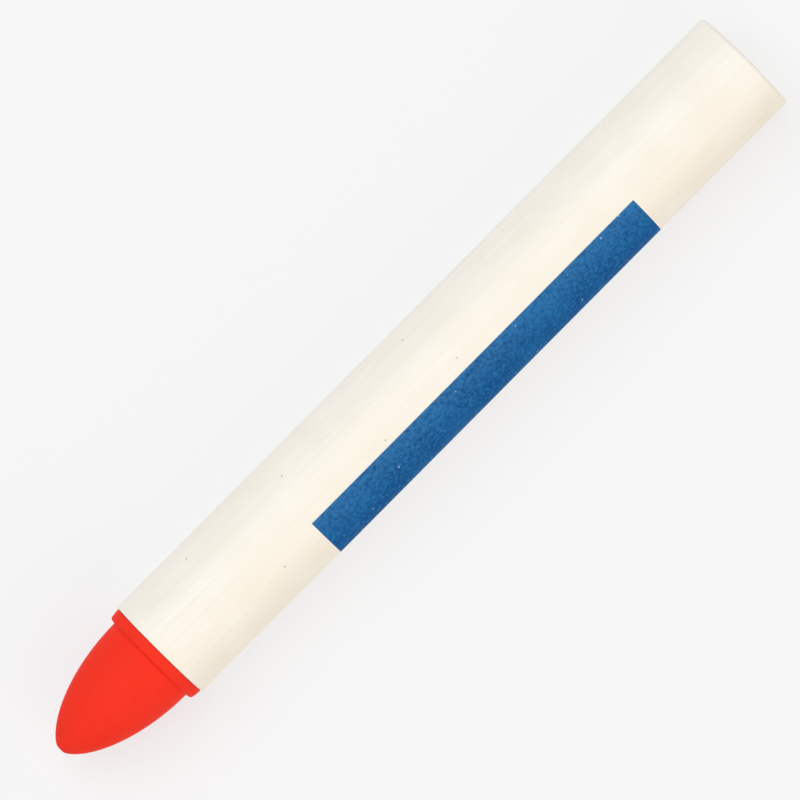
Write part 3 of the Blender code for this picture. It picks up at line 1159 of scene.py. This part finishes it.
@dataclass(frozen=True)
class TurnKnob:
    """The knob sunk in the rear end: a shallow cup with a grip web across it, and a hub for the screw."""

    axis: MarkerAxis
    rear: float = 0.5 * MM
    front: float = 6.5 * MM
    radius: float = 6.9 * MM
    rim: float = 0.9 * MM
    rim_round: float = 0.28 * MM
    front_round: float = 0.35 * MM
    pocket_floor: float = 5.0 * MM
    floor_fillet: float = 0.7 * MM
    web_thickness: float = 2.2 * MM
    web_drop: float = 0.3 * MM
    web_round: float = 0.55 * MM
    web_fillet: float = 0.6 * MM
    # The web's feet spread past their fillets, and dip a hair into the floor so that no faces share a plane.
    web_foot: float = 0.72 * MM
    web_dip: float = 0.02 * MM
    hub_radius: float = 3.033 * MM
    hub_front: float = 12.35 * MM
    hub_round: float = 0.2 * MM
    socket_side: float = 3.3 * MM
    overrun: float = 0.5 * MM
    segments: int = 128

    def build(self, ivory: Material) -> Object:
        """Turn the cup and hub, add the web, and cut the socket for the screw's tang.

        Args:
            ivory: Its material.

        Returns:
            The piece.
        """
        pocket_radius = self.radius - self.rim
        outline = [
            Corner(self.hub_front, 0.0),
            Corner(self.hub_front, self.hub_radius, self.hub_round),
            Corner(self.front, self.hub_radius, self.hub_round),
            Corner(self.front, self.radius, self.front_round),
            Corner(self.rear, self.radius, self.rim_round),
            Corner(self.rear, pocket_radius, self.rim_round),
            Corner(self.pocket_floor, pocket_radius, self.floor_fillet),
            Corner(self.pocket_floor, 0.0),
        ]
        bm = turn(self.axis, outline, self.segments)
        # The web runs halfway into the rim at both ends, so that they join.
        bm = join(bm, self.web(2 * pocket_radius + self.rim), Joining.ADD)
        socket_front = self.hub_front + self.overrun
        middle = Matrix.Translation(self.axis.point((self.front + socket_front) / 2))
        socket = block((socket_front - self.front, self.socket_side, self.socket_side), middle)
        bm = join(bm, socket, Joining.CUT)
        return publish(bm, "grip_knob", "turn_knob", Body.KNOB, Slot.IVORY_PLASTIC, ivory)

    def web(self, length: float) -> BMesh:
        """Draw the web's section, with a rounded crown and filleted feet, and run it across the cup.

        Args:
            length: Its length across the cup.

        Returns:
            The web.
        """
        half = self.web_thickness / 2
        foot = half + self.web_foot
        crown = self.rear + self.web_drop
        floor = self.pocket_floor + self.web_dip
        root = self.pocket_floor + self.overrun
        corners = [
            (crown, -half, self.web_round),
            (crown, half, self.web_round),
            (floor, half, self.web_fillet),
            (floor, foot, 0.0),
            (root, foot, 0.0),
            (root, -foot, 0.0),
            (floor, -foot, 0.0),
            (floor, -half, self.web_fillet),
        ]
        lowest = self.axis.point(0.0, -length / 2)
        points = [lowest + Vector((along, side, 0.0)) for along, side, _ in corners]
        bm = draw_wire(points, [rounding for _, _, rounding in corners], closed=True)
        section = bmesh.ops.contextual_create(bm, geom=bm.edges[:])["faces"]
        bmesh.ops.translate(bm, vec=(0.0, 0.0, length), verts=pull_out(bm, section))
        bmesh.ops.recalc_face_normals(bm, faces=bm.faces)
        return bm


@dataclass(frozen=True)
class RearBearing:
    """The bush that carries the knob's hub, and the rubber ring that seals it."""

    axis: MarkerAxis
    rear: float = 7.55 * MM
    front: float = 12.05 * MM
    radius: float = 7.05 * MM
    edge_round: float = 0.3 * MM
    bore_radius: float = 3.333 * MM
    bore_round: float = 0.15 * MM
    seat_radius: float = 4.533 * MM
    seat_depth: float = 1.5 * MM
    seal_radius: float = 3.783 * MM
    seal_section: float = 1.3 * MM
    seal_rings: int = 24
    segments: int = 96

    def build_bush(self, acetal: Material) -> Object:
        """Turn the bush with the seat for its seal.

        Args:
            acetal: Its material.

        Returns:
            The piece.
        """
        seat = self.front - self.seat_depth
        outline = [
            Corner(self.front, self.seat_radius, self.bore_round),
            Corner(self.front, self.radius, self.edge_round),
            Corner(self.rear, self.radius, self.edge_round),
            Corner(self.rear, self.bore_radius, self.bore_round),
            Corner(seat, self.bore_radius, self.bore_round),
            Corner(seat, self.seat_radius),
        ]
        bm = turn(self.axis, outline, self.segments, closed=True)
        return publish(bm, "hub_bush", "rear_bush", Body.BARREL, Slot.WHITE_PLASTIC, acetal)

    def build_seal(self, rubber: Material) -> Object:
        """Spin a small circle into the sealing ring.

        Args:
            rubber: Its material.

        Returns:
            The piece.
        """
        bm = bmesh.new()
        middle = self.axis.point(self.front - self.seat_depth / 2, self.seal_radius)
        upright = Matrix.Translation(middle) @ Matrix.Rotation(math.pi / 2, 4, "X")
        bmesh.ops.create_circle(bm, segments=self.seal_rings, radius=self.seal_section / 2, matrix=upright)
        spin_round(bm, self.axis, self.segments)
        return publish(bm, "rubber_seal", "seal_ring", Body.BARREL, Slot.BLACK_RUBBER, rubber)


@dataclass(frozen=True)
class SoftBox:
    """One square studio lamp."""

    name: str
    place: tuple[float, float, float]
    size: float
    watts: float
    colour: str

    def build(self, aim: Vector) -> None:
        """Hang the lamp and turn it to the marker.

        Args:
            aim: The point that it faces.
        """
        lamp = bpy.data.lights.new(self.name, "AREA")
        lamp.shape = "SQUARE"
        lamp.size = self.size
        lamp.energy = self.watts
        lamp.color = linear(self.colour)[:3]
        holder = put_in_scene(self.name, lamp)
        holder.location = self.place
        holder.rotation_euler = (aim - Vector(self.place)).to_track_quat("-Z", "Y").to_euler()


@dataclass(frozen=True)
class PhotoCamera:
    """A long lens straight above the marker, turned so that the cap lies at the picture's lower left."""

    distance: float = 1.5
    sensor_mm: float = 36.0
    frame_pixels: float = 800.0
    pixels_per_mm: float = 7.036
    # The marker's middle in the picture, and the cap's heading, counter-clockwise from the picture's right
    middle_right: float = 402.6
    middle_down: float = 404.8
    cap_heading: float = 225.2

    def build(self, middle: Vector) -> None:
        """Hang the camera and make it the scene's own.

        Args:
            middle: The middle of the marker, on its axis.
        """
        data = bpy.data.cameras.new("photo_camera")
        data.sensor_fit = "HORIZONTAL"
        data.sensor_width = self.sensor_mm
        data.lens = self.sensor_mm * self.distance * self.pixels_per_mm / (self.frame_pixels * MM)
        heading = math.radians(self.cap_heading)
        right = Vector((math.cos(heading), -math.sin(heading), 0.0))
        up = Vector((math.sin(heading), math.cos(heading), 0.0))
        metres_per_pixel = MM / self.pixels_per_mm
        shift_right = (self.frame_pixels / 2 - self.middle_right) * metres_per_pixel
        shift_up = (self.middle_down - self.frame_pixels / 2) * metres_per_pixel
        camera = put_in_scene("photo_camera", data)
        camera.location = middle + right * shift_right + up * shift_up + Vector((0.0, 0.0, self.distance))
        camera.rotation_euler = (0.0, 0.0, -heading)
        bpy.context.scene.camera = camera


@dataclass(frozen=True)
class Studio:
    """A pale floor, an even sky, a cool key lamp over the bare side and a warm fill on the printed side."""

    ground_colour: str = "#F6F6F6"
    floor_size: float = 4.0
    # The share of the floor's own light in the picture; the rest takes the marker's shadow.
    floor_glow: float = 0.75
    sky_colour: str = "#FFFFFF"
    sky_strength: float = 0.45
    lamps: tuple[SoftBox, ...] = (
        SoftBox("key_lamp", place=(0.0, -0.36, 0.79), size=0.7, watts=4.3, colour="#F2F7FF"),
        SoftBox("fill_lamp", place=(0.0, 0.56, 0.48), size=0.6, watts=1.82, colour="#FFF0E1"),
    )

    def build(self, axis: MarkerAxis) -> None:
        """Lay the floor, hang the lamps and the sky, and set up the camera.

        Args:
            axis: The marker's axis.
        """
        middle = axis.point(axis.tip / 2)
        self.lay_floor()
        self.hang_sky()
        for lamp in self.lamps:
            lamp.build(middle)
        PhotoCamera().build(middle)
        bpy.context.scene.view_settings.view_transform = "Standard"

    def lay_floor(self) -> None:
        """Lay a plain sheet of pale card under the marker."""
        bm = bmesh.new()
        bmesh.ops.create_grid(bm, x_segments=1, y_segments=1, size=self.floor_size / 2)
        mesh = to_mesh(bm, "floor")
        mesh.materials.append(self.card())
        floor = put_in_scene("floor", mesh)

    def card(self) -> Material:
        """Make the floor's matt card, which glows a little to the camera so that the ground stays even.

        Returns:
            The material.
        """
        material = bpy.data.materials.new("matt_white_card")
        material.use_nodes = True
        tree = material.node_tree
        tree.nodes.clear()
        colour = linear(self.ground_colour)
        sight = {0: self.seen_directly(tree), 1: self.floor_glow}
        share = add_node(tree, "ShaderNodeMath", sight, operation="MULTIPLY").outputs["Value"]
        matt = add_node(tree, "ShaderNodeBsdfDiffuse", {"Color": colour}).outputs["BSDF"]
        glow = add_node(tree, "ShaderNodeEmission", {"Color": colour, "Strength": 1.0}).outputs["Emission"]
        mixed = add_node(tree, "ShaderNodeMixShader", {0: share, 1: matt, 2: glow})
        add_node(tree, "ShaderNodeOutputMaterial", {"Surface": mixed.outputs["Shader"]})
        return material

    def hang_sky(self) -> None:
        """Light everything evenly from all round, and show the ground's colour behind the floor."""
        world = bpy.data.worlds.new("studio")
        bpy.context.scene.world = world
        world.use_nodes = True
        tree = world.node_tree
        tree.nodes.clear()
        lit = {"Color": linear(self.sky_colour), "Strength": self.sky_strength}
        shown = {"Color": linear(self.ground_colour), "Strength": 1.0}
        skies = [add_node(tree, "ShaderNodeBackground", sky).outputs["Background"] for sky in (lit, shown)]
        mixed = add_node(tree, "ShaderNodeMixShader", {0: self.seen_directly(tree), 1: skies[0], 2: skies[1]})
        add_node(tree, "ShaderNodeOutputWorld", {"Surface": mixed.outputs["Shader"]})

    def seen_directly(self, tree: NodeTree) -> NodeSocket:
        """Tell rays that show the background from rays that light the marker.

        Args:
            tree: The node tree that asks.

        Returns:
            1 for rays from the camera, or by way of a gloss or glass, and 0 for the rest.
        """
        ray = add_node(tree, "ShaderNodeLightPath")
        seen = ray.outputs["Is Camera Ray"]
        for other in ("Is Glossy Ray", "Is Transmission Ray"):
            both = add_node(tree, "ShaderNodeMath", {0: seen, 1: ray.outputs[other]}, operation="MAXIMUM")
            seen = both.outputs["Value"]
        return seen


def main() -> None:
    """Build the marker round its frame, then the studio."""
    logging.basicConfig(level=logging.INFO, format="%(message)s")
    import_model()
    axis = MarkerAxis.from_frame()

    ivory = IvoryPolypropylene().build()
    ink = BluePrintInk().build()
    red = RedPolypropylene().build()
    paint = SolidPaint().build()
    acetal = NaturalAcetal().build()
    rubber = NitrileRubber().build()

    drive = FeedDrive(axis)
    bearing = RearBearing(axis)
    pieces = [
        Barrel(axis).build(ivory, ink),
        Cap(axis).build(red),
        PaintStick(axis).build(paint),
        drive.build_screw(acetal),
        drive.build_carrier(acetal),
        TurnKnob(axis).build(ivory),
        bearing.build_bush(acetal),
        bearing.build_seal(rubber),
    ]
    for piece in pieces:
        finishes = ", ".join(material.name for material in piece.data.materials)
        LOG.info("%s: %d faces, %s", piece.name, len(piece.data.polygons), finishes)
    Studio().build(axis)


if __name__ == "__main__":
    main()
